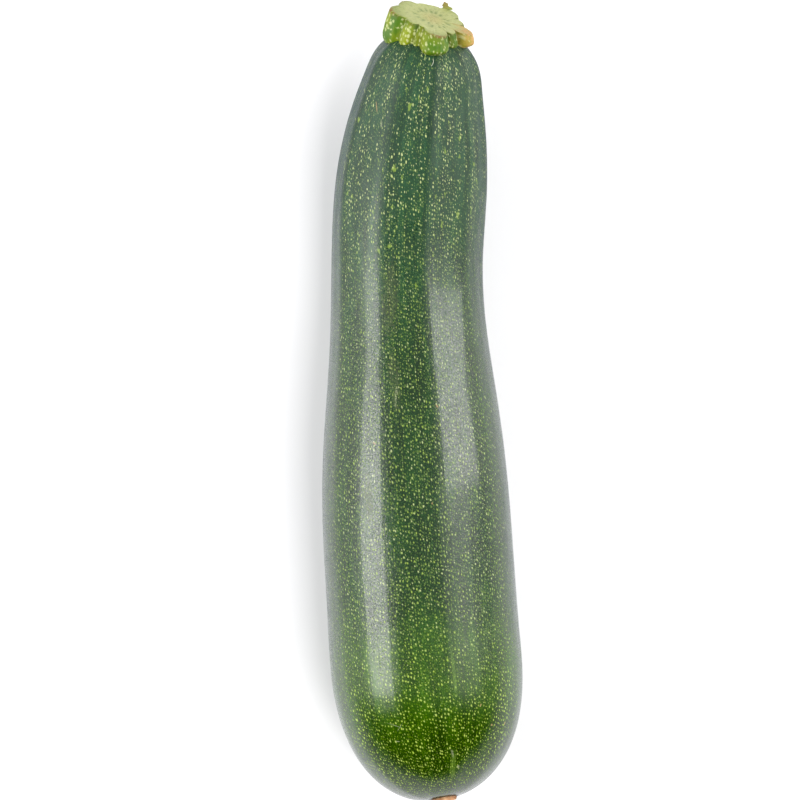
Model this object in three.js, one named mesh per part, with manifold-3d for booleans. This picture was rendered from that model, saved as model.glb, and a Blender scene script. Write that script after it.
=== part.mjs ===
// A courgette as cut from the plant, lying on its side: the ribbed green fruit, the stub of
// its lobed stem, and the corky scar where the flower fell off. Millimetres, +Z up, stem
// towards +Y. The origin is under the middle of the bounding box, on the surface it lies on.
import * as THREE from "three";
import { mergeVertices } from "three/addons/utils/BufferGeometryUtils.js";
import Module from "manifold-3d";

// Driving dimensions, in millimetres and degrees. A station is a distance along Y.
const fruit = {
  shoulderFrom: 80, // the stem end is a superellipse from here
  shoulderTip: 91.7,
  shoulderLengthPower: 3,
  seatRadius: 7, // flat under the stem
  domeFrom: -60, // the blossom end is a superellipse from here
  domeTip: -99.4,
  domeLengthPower: 2.6,
  domeWidthPower: 2.15,
  facets: 60,
};
const ribs = {
  count: 10,
  neckAngle: 11, // angle of the first rib from the top, near the stem
  blossomAngle: 19, // and near the scar: the ribs wind round a little
  harmonic: 0.22, // sharpens the ribs and flattens what lies between
  majorShare: 0.25, // every second rib is this much stronger
};
// How far the ribs stand out at each station, as a share of the radius.
const ribHeights = [
  [92, 0.016],
  [78, 0.014],
  [60, 0.011],
  [30, 0.009],
  [0, 0.005],
  [-40, 0.003],
  [-80, 0.004],
  [-97, 0.007],
];
// The line through the middle of the fruit and its half width, at even steps along it from
// beyond the stem to beyond the scar. A smooth curve runs along these rows: x, z, half width.
const spineStart = 126;
const spineStep = 18;
const spine = [
  [6.7, 43, 12.5],
  [4.6, 36, 11.8],
  [2.2, 28.8, 11.4],
  [-0.85, 23.2, 16.9],
  [-2.75, 19.8, 19.3],
  [-3.95, 18.1, 18.6],
  [-3.4, 18.3, 19.1],
  [-2.55, 20.4, 21.4],
  [-1.9, 22.3, 23.1],
  [-0.95, 22.8, 23.6],
  [0.25, 22.9, 23.65],
  [1.5, 23, 24.05],
  [3.7, 24.5, 24.15],
  [6.9, 28.5, 24.1],
  [11, 33.5, 24.1],
];
const scar = {
  radius: 3.3,
  recessRadius: 3.7,
  recessDepth: 1.0,
  thickness: 1.3,
  dish: -0.3, // the middle of its face stands out by this much
  wobble: 0.12,
  facets: 30,
};
const stem = {
  station: 89, // the foot of the stem lies across the spine here
  coreRadius: 6,
  height: 6, // from the foot to the middle of the cut
  cutFall: 0.19, // the cut slants down towards the top of the fruit
  cutFallRight: 0.16, // and towards +X
  barrel: 0.75, // the wall bulges by this much between foot and cut
  footRounding: 0.2, // and draws in by this share below the bulge
  footDepth: 1.45, // the block starts this far below the foot, before it is fitted to the fruit
  footRise: 0.15, // and rises towards +X
  facets: 108,
};
// The lobes of the stem: heading from the top, reach beyond the core at the cut, half width in
// degrees, and how much further the lobe reaches at its foot.
const lobes = [
  [10, 3.9, 25, 2.7],
  [48, 1.7, 13, 0.9],
  [79, 4.3, 16, 0.3],
  [110, 2.0, 14, 0.8],
  [147, 3.1, 22, 1.0],
  [176, 1.6, 22, 1.2],
  [208, 1.5, 22, 1.2],
  [245, 3.4, 25, 1.0],
  [283, 5.1, 23, 0.4],
  [316, 2.5, 15, 1.3],
  [339, 1.2, 12, 2.0],
];
const clearance = 0.3; // between neighbouring solids
const middle = { x: 0.16, y: -0.62 }; // of the whole, before it is moved onto the origin
const up = new THREE.Vector3(0, 0, 1);

const smooth = (t) => {
  const c = THREE.MathUtils.clamp(t, 0, 1);
  return c * c * (3 - 2 * c);
};

// How far the ribs stand out at a station.
function ribHeight(station) {
  const n = ribHeights.length;
  if (station >= ribHeights[0][0]) return ribHeights[0][1];
  if (station <= ribHeights[n - 1][0]) return ribHeights[n - 1][1];
  const i = ribHeights.findIndex((row) => row[0] <= station);
  const [from, to] = [ribHeights[i - 1], ribHeights[i]];
  return THREE.MathUtils.lerp(from[1], to[1], smooth((from[0] - station) / (from[0] - to[0])));
}

// A column of the spine's rows at a station, as a uniform cubic B-spline.
function onSpine(column, station) {
  const t = (spineStart - station) / spineStep;
  const i = THREE.MathUtils.clamp(Math.floor(t), 1, spine.length - 3);
  const u = t - i;
  const weights = [
    (1 - u) ** 3,
    3 * u ** 3 - 6 * u ** 2 + 4,
    -3 * u ** 3 + 3 * u ** 2 + 3 * u + 1,
    u ** 3,
  ];
  return weights.reduce((sum, weight, k) => sum + (weight * spine[i - 1 + k][column]) / 6, 0);
}

// The cross-section's frame at a station: its middle, the way to the stem, top and side.
function frameAt(station) {
  const step = 0.05;
  const point = (s) => new THREE.Vector3(onSpine(0, s), s, onSpine(1, s));
  const centre = point(station);
  const ahead = point(station + step).sub(point(station - step)).normalize();
  const top = up.clone().addScaledVector(ahead, -up.dot(ahead)).normalize();
  return { centre, ahead, top, side: ahead.clone().cross(top) };
}

// Half the fruit's width at a station.
function radiusAt(station) {
  const shoulder = THREE.MathUtils.clamp(
    (station - fruit.shoulderFrom) / (fruit.shoulderTip - fruit.shoulderFrom),
    0,
    1,
  );
  const dome = THREE.MathUtils.clamp(
    (fruit.domeFrom - station) / (fruit.domeFrom - fruit.domeTip),
    0,
    1,
  );
  return (
    onSpine(2, station) *
    Math.sqrt(1 - shoulder ** fruit.shoulderLengthPower) *
    (1 - dome ** fruit.domeLengthPower) ** (1 / fruit.domeWidthPower)
  );
}

// The station on the dome where the fruit has a given radius.
const domeWidth = onSpine(2, fruit.domeTip);
function domeStation(radius) {
  const share = Math.pow(radius / domeWidth, fruit.domeWidthPower);
  const depth = Math.pow(1 - share, 1 / fruit.domeLengthPower);
  return fruit.domeFrom - (fruit.domeFrom - fruit.domeTip) * depth;
}

// How much the ribs raise or lower the surface, as a share of the radius.
function ribRelief(angle, station) {
  const travel = (fruit.shoulderTip - station) / (fruit.shoulderTip - fruit.domeTip);
  const turned = THREE.MathUtils.lerp(ribs.neckAngle, ribs.blossomAngle, travel);
  const phase = ribs.count * (angle - THREE.MathUtils.degToRad(turned));
  const wave = Math.cos(phase) + ribs.harmonic * Math.cos(2 * phase);
  const major = 1 + ribs.majorShare * Math.cos(phase / 2);
  return ribHeight(station) * wave * major;
}

// Puts a lathe's points, turned about Y, onto the bent and ribbed fruit.
function bendOntoFruit(geometry, ribbed = true) {
  const position = geometry.getAttribute("position");
  const spot = new THREE.Vector3();
  for (let i = 0; i < position.count; i++) {
    spot.fromBufferAttribute(position, i);
    const station = spot.y;
    const angle = Math.atan2(spot.x, spot.z);
    const { centre, top, side } = frameAt(station);
    const relief = ribbed ? 1 + ribRelief(angle, station) : 1;
    const reach = Math.hypot(spot.x, spot.z) * relief;
    centre.addScaledVector(top, reach * Math.cos(angle));
    centre.addScaledVector(side, reach * Math.sin(angle));
    position.setXYZ(i, centre.x, centre.y, centre.z);
  }
  return geometry;
}

// A closed lathe with only positions, its seam and poles merged.
function closedLathe(profile, facets) {
  const lathe = new THREE.LatheGeometry(profile, facets);
  lathe.deleteAttribute("normal");
  lathe.deleteAttribute("uv");
  const merged = mergeVertices(lathe, 1e-4);
  const index = merged.index.array;
  const kept = [];
  for (let i = 0; i < index.length; i += 3) {
    const [a, b, c] = [index[i], index[i + 1], index[i + 2]];
    if (a !== b && b !== c && c !== a) kept.push(a, b, c);
  }
  return merged.setIndex(kept);
}

// How far the shoulder's quarter turn runs before it is cut off flat under the stem.
const seatShare = (fruit.seatRadius / onSpine(2, fruit.shoulderTip)) ** 2;
const seatTurn = Math.asin((1 - seatShare) ** (1 / fruit.shoulderLengthPower));

// The fruit's profile from the scar's recess to the middle of the seat: radius, station.
function fruitProfile() {
  const points = [];
  const rim = domeStation(scar.recessRadius);
  const floor = rim + scar.recessDepth;
  points.push(new THREE.Vector2(0, floor));
  points.push(new THREE.Vector2(scar.recessRadius * 0.5, floor));
  points.push(new THREE.Vector2(scar.recessRadius * 0.94, floor));
  const domeRows = 17;
  const rimTurn = Math.asin(scar.recessRadius / domeWidth);
  for (let i = 0; i <= domeRows; i++) {
    const turn = THREE.MathUtils.lerp(rimTurn, Math.PI / 2, i / domeRows);
    const station = domeStation(domeWidth * Math.sin(turn));
    points.push(new THREE.Vector2(radiusAt(station), station));
  }
  const bodyRows = 30;
  for (let i = 1; i <= bodyRows; i++) {
    const station = THREE.MathUtils.lerp(fruit.domeFrom, fruit.shoulderFrom, i / bodyRows);
    points.push(new THREE.Vector2(radiusAt(station), station));
  }
  const shoulderRows = 9;
  for (let i = 1; i <= shoulderRows; i++) {
    const depth = Math.sin((i / shoulderRows) * seatTurn);
    const station = THREE.MathUtils.lerp(fruit.shoulderFrom, fruit.shoulderTip, depth);
    points.push(new THREE.Vector2(radiusAt(station), station));
  }
  const seat = points[points.length - 1];
  points.push(new THREE.Vector2(seat.x * 0.6, seat.y));
  points.push(new THREE.Vector2(seat.x * 0.3, seat.y));
  points.push(new THREE.Vector2(0, seat.y));
  return points;
}

// The fruit, pressed flat where it rests.
function fruitGeometry() {
  const geometry = bendOntoFruit(closedLathe(fruitProfile(), fruit.facets));
  const position = geometry.getAttribute("position");
  for (let i = 0; i < position.count; i++) position.setZ(i, Math.max(position.getZ(i), 0));
  return geometry;
}

// The stem end of the fruit, grown by the clearance: what the stem is fitted over.
function grownEndGeometry() {
  const back = 70;
  const rows = fruitProfile().filter((p) => p.y > back);
  const points = rows.map((p, i) => {
    const from = rows[Math.max(i - 1, 0)];
    const to = rows[Math.min(i + 1, rows.length - 1)];
    const way = new THREE.Vector2(to.y - from.y, from.x - to.x).normalize();
    return p.x > 0 ? p.clone().addScaledVector(way, clearance) : new THREE.Vector2(0, p.y + clearance);
  });
  return bendOntoFruit(closedLathe([new THREE.Vector2(0, back), ...points], fruit.facets));
}

// The corky scar: a thin, slightly bulging disc with an uneven edge.
function scarGeometry() {
  const inner = domeStation(scar.recessRadius) + scar.recessDepth - clearance;
  const outer = inner - scar.thickness;
  const profile = [
    [0, outer + scar.dish],
    [0.45, outer + scar.dish * 0.8],
    [0.72, outer + scar.dish * 0.5],
    [0.9, outer + scar.dish * 0.15],
    [1, outer + 0.25],
    [1, inner - 0.3],
    [0.94, inner],
    [0, inner],
  ].map(([share, station]) => new THREE.Vector2(share * scar.radius, station));
  const geometry = closedLathe(profile, scar.facets);
  const position = geometry.getAttribute("position");
  for (let i = 0; i < position.count; i++) {
    const angle = Math.atan2(position.getX(i), position.getZ(i));
    const wave = 1 + Math.sin(3 * angle) + 0.6 * Math.sin(7 * angle + 1);
    const wobble = 1 - (scar.wobble / scar.radius) * wave;
    position.setX(i, position.getX(i) * wobble);
    position.setZ(i, position.getZ(i) * wobble);
  }
  return bendOntoFruit(geometry, false);
}

// The stem's reach at an angle from the top and a share of its height: a core with round
// lobes that meet in sharp grooves.
function stemReach(angle, share) {
  let lobed = 0;
  for (const [heading, length, halfWidth, spread] of lobes) {
    const degrees = THREE.MathUtils.radToDeg(angle) - heading + 180;
    const off = THREE.MathUtils.euclideanModulo(degrees, 360) - 180;
    const lobe = length + spread * (1 - share) ** 1.3;
    lobed += (lobe * Math.sqrt(Math.max(1 - (off / halfWidth) ** 2, 0))) ** 3;
  }
  const bulge = stem.barrel * Math.sin(Math.PI * share ** 0.8);
  const foot = 1 - stem.footRounding * Math.max(1 - share / 0.42, 0) ** 2;
  return (stem.coreRadius + Math.cbrt(lobed) + bulge) * foot;
}

// The stem before it is fitted to the fruit: share of the reach, share of the height.
function stemBlockGeometry() {
  const profile = [
    [0, 0],
    [0.5, 0],
    [1, 0],
    [1, 0.1],
    [1, 0.18],
    [1, 0.26],
    [1, 0.35],
    [1, 0.46],
    [1, 0.58],
    [1, 0.72],
    [1, 0.86],
    [1, 0.96],
    [0.97, 1],
    [0.6, 1],
    [0.3, 1],
    [0, 1],
  ].map(([share, height]) => new THREE.Vector2(share, height));
  const geometry = closedLathe(profile, stem.facets);
  const seat = frameAt(stem.station);
  const position = geometry.getAttribute("position");
  const spot = new THREE.Vector3();
  for (let i = 0; i < position.count; i++) {
    spot.fromBufferAttribute(position, i);
    const angle = Math.atan2(spot.x, spot.z);
    const reach = Math.hypot(spot.x, spot.z) * stemReach(angle, spot.y);
    const [rise, right] = [reach * Math.cos(angle), reach * Math.sin(angle)];
    const cut = stem.height - stem.cutFall * rise - stem.cutFallRight * right;
    const foot = stem.footRise * right - stem.footDepth;
    const height = THREE.MathUtils.lerp(foot, cut, spot.y);
    const place = seat.centre
      .clone()
      .addScaledVector(seat.top, rise)
      .addScaledVector(seat.side, right)
      .addScaledVector(seat.ahead, height);
    position.setXYZ(i, place.x, place.y, place.z);
  }
  return geometry;
}

const wasm = await Module();
wasm.setup();

function solidFrom(geometry) {
  return new wasm.Manifold(
    new wasm.Mesh({
      numProp: 3,
      vertProperties: new Float32Array(geometry.getAttribute("position").array),
      triVerts: new Uint32Array(geometry.index.array),
    }),
  );
}

function geometryFrom(solid) {
  const mesh = solid.getMesh();
  const points = new Float32Array(mesh.numVert * 3);
  for (let i = 0; i < mesh.numVert; i++) {
    points.set(mesh.vertProperties.subarray(i * mesh.numProp, i * mesh.numProp + 3), i * 3);
  }
  const geometry = new THREE.BufferGeometry();
  geometry.setAttribute("position", new THREE.BufferAttribute(points, 3));
  geometry.setIndex(new THREE.BufferAttribute(new Uint32Array(mesh.triVerts), 1));
  return geometry;
}

function stemGeometry() {
  const block = solidFrom(stemBlockGeometry());
  return geometryFrom(block.subtract(solidFrom(grownEndGeometry())));
}

function piece(name, geometry, material) {
  geometry.translate(-middle.x, -middle.y, 0);
  geometry.computeVertexNormals();
  const mesh = new THREE.Mesh(geometry, new THREE.MeshStandardMaterial(material));
  mesh.name = name;
  return mesh;
}

const courgette = new THREE.Group();
courgette.name = "courgette";
courgette.add(
  piece("fruit", fruitGeometry(), { color: 0x3c5f33, roughness: 0.4, metalness: 0 }),
  piece("stem", stemGeometry(), { color: 0xa8bd5e, roughness: 0.55, metalness: 0 }),
  piece("blossom_scar", scarGeometry(), { color: 0xb08e74, roughness: 0.85, metalness: 0 }),
);

export default courgette;
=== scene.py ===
import bpy
import numpy as np
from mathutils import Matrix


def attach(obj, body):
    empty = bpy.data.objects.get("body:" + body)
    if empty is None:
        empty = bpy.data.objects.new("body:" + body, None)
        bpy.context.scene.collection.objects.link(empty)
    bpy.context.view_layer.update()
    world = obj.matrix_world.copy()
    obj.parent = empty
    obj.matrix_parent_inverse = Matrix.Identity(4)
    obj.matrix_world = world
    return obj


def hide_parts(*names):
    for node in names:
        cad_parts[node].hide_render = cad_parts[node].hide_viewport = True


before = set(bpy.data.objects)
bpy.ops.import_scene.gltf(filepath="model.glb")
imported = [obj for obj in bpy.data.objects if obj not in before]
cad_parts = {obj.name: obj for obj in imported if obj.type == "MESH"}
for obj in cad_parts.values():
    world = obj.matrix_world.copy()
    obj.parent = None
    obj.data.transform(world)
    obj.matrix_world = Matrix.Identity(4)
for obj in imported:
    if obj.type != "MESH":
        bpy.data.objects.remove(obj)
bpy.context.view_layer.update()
print("courgette: frame loaded")

# Lengths in the dictionaries are millimetres, angles are degrees. +Y runs to the stem, and a
# station is a distance along it. The finished meshes are in metres.
mm = 0.001
middle = np.array([0.16, -0.62, 0.0])  # of the whole, before it is moved onto the origin


spine = {
    "start": 126, "step": 18,
    "x": [6.7, 4.6, 2.2, -0.85, -2.75, -3.95, -3.4, -2.55, -1.9, -0.95, 0.25, 1.5, 3.7, 6.9, 11],
    "z": [43, 36, 28.8, 23.2, 19.8, 18.1, 18.3, 20.4, 22.3, 22.8, 22.9, 23, 24.5, 28.5, 33.5],
    "halfWidth": [12.5, 11.8, 11.4, 16.9, 19.3, 18.6, 19.1, 21.4, 23.1, 23.6, 23.65,
                  24.05, 24.15, 24.1, 24.1],
}


# A uniform cubic B-spline through one list of the spine, at any stations.
def onSpine(name, station):
    values = np.asarray(spine[name], float)
    t = (spine["start"] - np.asarray(station, float)) / spine["step"]
    i = np.clip(np.floor(t).astype(int), 1, len(values) - 3)
    u = t - i
    return ((1 - u) ** 3 * values[i - 1] + (3 * u ** 3 - 6 * u ** 2 + 4) * values[i]
            + (-3 * u ** 3 + 3 * u ** 2 + 3 * u + 1) * values[i + 1] + u ** 3 * values[i + 2]) / 6


def unit(vectors):
    return vectors / np.linalg.norm(vectors, axis=-1, keepdims=True)


# The cross-section's frame at each station: its centre, the way to the stem, its top and side.
def frameAt(station):
    station = np.asarray(station, float)

    def point(s):
        return np.stack([onSpine("x", s), s, onSpine("z", s)], -1)

    ahead = unit(point(station + 0.05) - point(station - 0.05))
    up = np.array([0.0, 0.0, 1.0])
    top = unit(up - ahead * (ahead @ up)[..., None])
    return point(station), ahead, top, np.cross(ahead, top)


# Points round the spine: its centre at each station, plus the reach times the angle's cosine
# towards the top and its sine towards the side. Also the way to the stem at each station.
def roundSpine(stations, reach, angle):
    centre, ahead, top, side = frameAt(stations)
    outward = (top[:, None] * np.cos(angle)[..., None] + side[:, None] * np.sin(angle)[..., None])
    return centre[:, None] + reach[..., None] * outward, ahead[:, None]


# Even angles once round, as one row.
def onceRound(count):
    return np.linspace(0, 2 * np.pi, count, endpoint=False)[None, :]


# From 0 at the low value to 1 at the high one, with an easy start and end.
def smooth(low, high, value):
    t = np.clip((value - low) / (high - low), 0, 1)
    return t * t * (3 - 2 * t)


# A bell round a heading: 1 at the middle, falling off with the distance in degrees.
def bell(degrees, heading, halfWidth, power=2.4):
    off = (degrees - heading + 180) % 360 - 180
    return np.exp(-np.abs(off / halfWidth) ** power)


# A closed surface from rings of points. The first and last ring are single points. Faces
# point outwards whatever way the rings run. Values per point are stored as attributes.
def closedSurface(name, rings, values):
    rows, columns = rings.shape[:2]
    inner = rings[1:-1].reshape(-1, 3)
    points = (np.vstack([inner, rings[:1, 0], rings[-1:, 0]]) - middle) * mm
    index = np.arange((rows - 2) * columns).reshape(rows - 2, columns)
    nextIndex = np.roll(index, -1, axis=1)
    quads = np.stack([index[:-1], nextIndex[:-1], nextIndex[1:], index[1:]], -1).reshape(-1, 4)
    firstPole, lastPole = len(inner), len(inner) + 1
    fanA = np.stack([nextIndex[0], index[0], np.full(columns, firstPole)], -1)
    fanB = np.stack([index[-1], nextIndex[-1], np.full(columns, lastPole)], -1)
    a, b, c = points[quads[:, 0]], points[quads[:, 1]], points[quads[:, 2]]
    if np.einsum("ij,ij->", a - points.mean(0), np.cross(b - a, c - a)) < 0:
        quads, fanA, fanB = quads[:, ::-1], fanA[:, ::-1], fanB[:, ::-1]
    mesh = bpy.data.meshes.new(name)
    mesh.from_pydata(points.tolist(), [], quads.tolist() + fanA.tolist() + fanB.tolist())
    for key, value in values.items():
        flat = np.concatenate([value[1:-1].reshape(len(inner), -1), value[:1, 0].reshape(1, -1),
                               value[-1:, 0].reshape(1, -1)])
        kind, field = ("FLOAT_VECTOR", "vector") if flat.shape[1] == 3 else ("FLOAT", "value")
        layer = mesh.attributes.new(key, kind, "POINT")
        layer.data.foreach_set(field, flat.astype(np.float32).ravel())
    mesh.shade_smooth()
    piece = bpy.data.objects.new(name, mesh)
    bpy.context.scene.collection.objects.link(piece)
    print("courgette:", name, "has", len(quads) * 2 + 2 * columns, "triangles")
    return piece


fruit = {
    "shoulderFrom": 80, "shoulderTip": 91.7, "shoulderLengthPower": 3, "seatRadius": 7,
    "domeFrom": -60, "domeTip": -99.4, "domeLengthPower": 2.6, "domeWidthPower": 2.15,
    "recessRadius": 3.7, "recessDepth": 1.0, "rimRounding": 0.45, "rimDepth": 0.35,
    "ribCount": 10, "ribNeckAngle": 11, "ribBlossomAngle": 19,
    "ribStations": [-97, -80, -40, 0, 30, 60, 78, 92],
    "ribHeights": [0.007, 0.004, 0.003, 0.005, 0.009, 0.011, 0.014, 0.016],
    "ribHarmonic": 0.22, "ribMajorShare": 0.25,
    "lumps": 0.0022,  # slow unevenness, as a share of the radius
    "patternRadius": 20,  # the skin pattern lies on a cylinder, so that it narrows with the fruit
    "around": 288, "domeRows": 84, "bodyRows": 150, "shoulderRows": 40,
}


# Half the width: the spine's own, closed by a superellipse at the shoulder and at the
# blossom end.
def radiusAt(station):
    f = fruit
    shoulder = np.clip((station - f["shoulderFrom"]) / (f["shoulderTip"] - f["shoulderFrom"]), 0, 1)
    dome = np.clip((f["domeFrom"] - station) / (f["domeFrom"] - f["domeTip"]), 0, 1)
    return (onSpine("halfWidth", station) * np.sqrt(1 - shoulder ** f["shoulderLengthPower"])
            * (1 - dome ** f["domeLengthPower"]) ** (1 / f["domeWidthPower"]))


# The dome solved for the station at which it has a given radius.
def domeStation(radius):
    f = fruit
    share = (radius / onSpine("halfWidth", f["domeTip"])) ** f["domeWidthPower"]
    return f["domeFrom"] - (f["domeFrom"] - f["domeTip"]) * (1 - share) ** (1 / f["domeLengthPower"])


# The angle by which the ribs have wound round at a station.
def ribTurn(station):
    f = fruit
    travel = (f["shoulderTip"] - station) / (f["shoulderTip"] - f["domeTip"])
    return np.radians(f["ribNeckAngle"] + (f["ribBlossomAngle"] - f["ribNeckAngle"]) * travel)


# Ribs: a cosine round the fruit plus its double, every second rib a little stronger.
def ribRelief(angle, station):
    f = fruit
    phase = f["ribCount"] * (angle - ribTurn(station))
    height = np.interp(station, f["ribStations"], f["ribHeights"])
    return height * (np.cos(phase) + f["ribHarmonic"] * np.cos(2 * phase)) * (
        1 + f["ribMajorShare"] * np.cos(phase / 2))


# Slow unevenness: a few waves round and along that never line up.
def lumpRelief(angle, station):
    s = station / 100
    return fruit["lumps"] * (np.sin(2 * angle + 5.1 * s + 0.4) * np.cos(7.3 * s + 1.0)
                             + 0.6 * np.sin(3 * angle - 9.7 * s + 2.0)
                             + 0.45 * np.sin(5 * angle + 14.3 * s))


# The profile from the middle of the scar's recess to the middle of the seat, as radii and
# stations: floor, wall, dome, body, shoulder, seat.
def fruitProfile():
    f = fruit
    rim = domeStation(f["recessRadius"])
    floor = rim + f["recessDepth"]
    start = np.arcsin(f["recessRadius"] / onSpine("halfWidth", f["domeTip"]))
    turn = np.linspace(start, np.pi / 2, f["domeRows"])
    domeStations = domeStation(onSpine("halfWidth", f["domeTip"]) * np.sin(turn))
    domeStations[-1] = f["domeFrom"]
    bodyStations = np.linspace(f["domeFrom"], f["shoulderFrom"], f["bodyRows"] + 1)[1:]
    seatShare = (f["seatRadius"] / onSpine("halfWidth", f["shoulderTip"])) ** 2
    seatTurn = np.arcsin((1 - seatShare) ** (1 / f["shoulderLengthPower"]))
    depth = np.sin(np.linspace(0, seatTurn, f["shoulderRows"] + 1)[1:])
    shoulderStations = f["shoulderFrom"] + (f["shoulderTip"] - f["shoulderFrom"]) * depth
    seat = shoulderStations[-1]
    radii = np.concatenate([
        np.array([0, 0.35, 0.7, 0.9, 0.97, 0.985, 0.99]) * f["recessRadius"],
        radiusAt(domeStations), radiusAt(bodyStations), radiusAt(shoulderStations),
        np.array([0.8, 0.5, 0.2, 0]) * radiusAt(seat)])
    stations = np.concatenate([
        np.full(4, floor), [floor - 0.1],
        [rim + f["recessDepth"] * 0.6, rim + f["recessDepth"] * 0.25],
        domeStations, bodyStations, shoulderStations, np.full(4, seat)])
    return radii, stations


# Distance over the skin from the middle of the scar to each point of the profile.
def skinLength(radii, stations):
    return np.concatenate([[0], np.cumsum(np.hypot(np.diff(radii), np.diff(stations)))])


# A point a little above the skin, at degrees from the top and a station.
def aboveSkin(degrees, station, lift):
    angle = np.radians(degrees)
    centre, ahead, top, side = frameAt(station)
    reach = radiusAt(station) * (1 + ribRelief(angle, station) + lumpRelief(angle, station)) + lift
    return centre + reach[..., None] * (top * np.cos(angle)[..., None]
                                        + side * np.sin(angle)[..., None])


# The same place on the skin's pattern: distance round its cylinder and over the skin.
def onPattern(degrees, station):
    radii, stations = fruitProfile()
    length = skinLength(radii, stations)
    outside = slice(7, len(stations) - 4)
    return (fruit["patternRadius"] * (np.radians(degrees) - ribTurn(station)),
            np.interp(station, stations[outside], length[outside]))


# Rings of the profile round the spine, raised by ribs and lumps, drawn in at the recess's rim
# and flat where the fruit rests.
def fruitPiece():
    f = fruit
    radii, stations = fruitProfile()
    angle = onceRound(f["around"])
    station = stations[:, None]
    rimDrop = np.exp(-np.maximum(radii - f["recessRadius"], 0) / f["rimRounding"])[:, None]
    inRecess = (stations > f["domeTip"]) & (radii < f["recessRadius"] + 0.01) & (stations < 0)
    relief = ribRelief(angle, station) + lumpRelief(angle, station)
    relief = np.where(inRecess[:, None], 0, relief)
    rings, ahead = roundSpine(stations, radii[:, None] * (1 + relief), angle)
    inward = np.where(inRecess[:, None], 0, f["rimDepth"] * rimDrop * (station < 0))
    rings = rings + ahead * inward[..., None]
    rings[..., 2] = np.maximum(rings[..., 2], 0)
    wound = angle - ribTurn(station)
    length = skinLength(radii, stations)[:, None]
    place = np.stack(np.broadcast_arrays(f["patternRadius"] * np.cos(wound),
                                         f["patternRadius"] * np.sin(wound), length), -1)
    ridge = np.cos(f["ribCount"] * wound) * np.ones_like(length)
    share = np.broadcast_to((f["shoulderTip"] - station) / (f["shoulderTip"] - f["domeTip"]),
                            ridge.shape)
    return closedSurface("courgette_skin", rings, {"place": place, "ridge": ridge, "share": share})


stem = {
    "station": 89, "coreRadius": 6, "height": 6, "cutFall": 0.19, "cutFallRight": 0.16,
    "barrel": 0.75, "footRounding": 0.2, "footDepth": 1.45, "footRise": 0.15, "overFruit": 0.06,
    # heading from the top, reach beyond the core at the cut, half width, more at the foot
    "lobes": [(10, 3.9, 25, 2.7), (48, 1.7, 13, 0.9), (79, 4.3, 16, 0.3), (110, 2.0, 14, 0.8),
              (147, 3.1, 22, 1.0), (176, 1.6, 22, 1.2), (208, 1.5, 22, 1.2), (245, 3.4, 25, 1.0),
              (283, 5.1, 23, 0.4), (316, 2.5, 15, 1.3), (339, 1.2, 12, 2.0)],
    "furrow": 0.05,  # depth of the fine furrows down the wall
    "cutDish": 0.25, "edgeDrop": 0.12, "edgeRounding": 0.02,
    "around": 360, "footRows": 7, "wallRows": 70, "faceRows": 44,
    "bundles": 17, "bundleRing": 0.47, "bundleSize": 0.32, "bundleLength": 1.8, "cutReach": 8.2,
    # where the rim has dried: heading, half width, how far up the wall it begins and is full,
    # and how strong
    "dried": [(283, 13, 0.86, 1.0, 0.9), (14, 14, 0.88, 0.99, 0.9), (240, 12, 0.9, 1.0, 0.8)],
}


# The reach of the stem: a core with round lobes that meet in sharp grooves, bulging a little
# between foot and cut and drawn in at the foot.
def stemReach(angle, share):
    s = stem
    lobed = 0
    for heading, length, halfWidth, spread in s["lobes"]:
        off = (np.degrees(angle) - heading + 180) % 360 - 180
        lobe = length + spread * (1 - share) ** 1.3
        lobed = lobed + (lobe * np.sqrt(np.clip(1 - (off / halfWidth) ** 2, 0, 1))) ** 3
    bulge = s["barrel"] * np.sin(np.pi * share ** 0.8)
    foot = 1 - s["footRounding"] * np.maximum(1 - share / 0.42, 0) ** 2
    furrows = s["furrow"] * (np.sin(47 * angle + 3 * share) + 0.7 * np.sin(71 * angle + 1.3))
    return (s["coreRadius"] + np.cbrt(lobed) + bulge) * foot + furrows * smooth(0, 0.2, share)


# How far the fruit's shoulder lies below the stem's foot plane at a distance from its axis:
# the shoulder's own profile read the other way round.
def shoulderDrop(reach):
    f = fruit
    stations = np.linspace(f["shoulderTip"] - 0.01, f["shoulderFrom"] - 10, 200)
    return np.interp(reach, radiusAt(stations), stations) - stem["station"]


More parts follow.
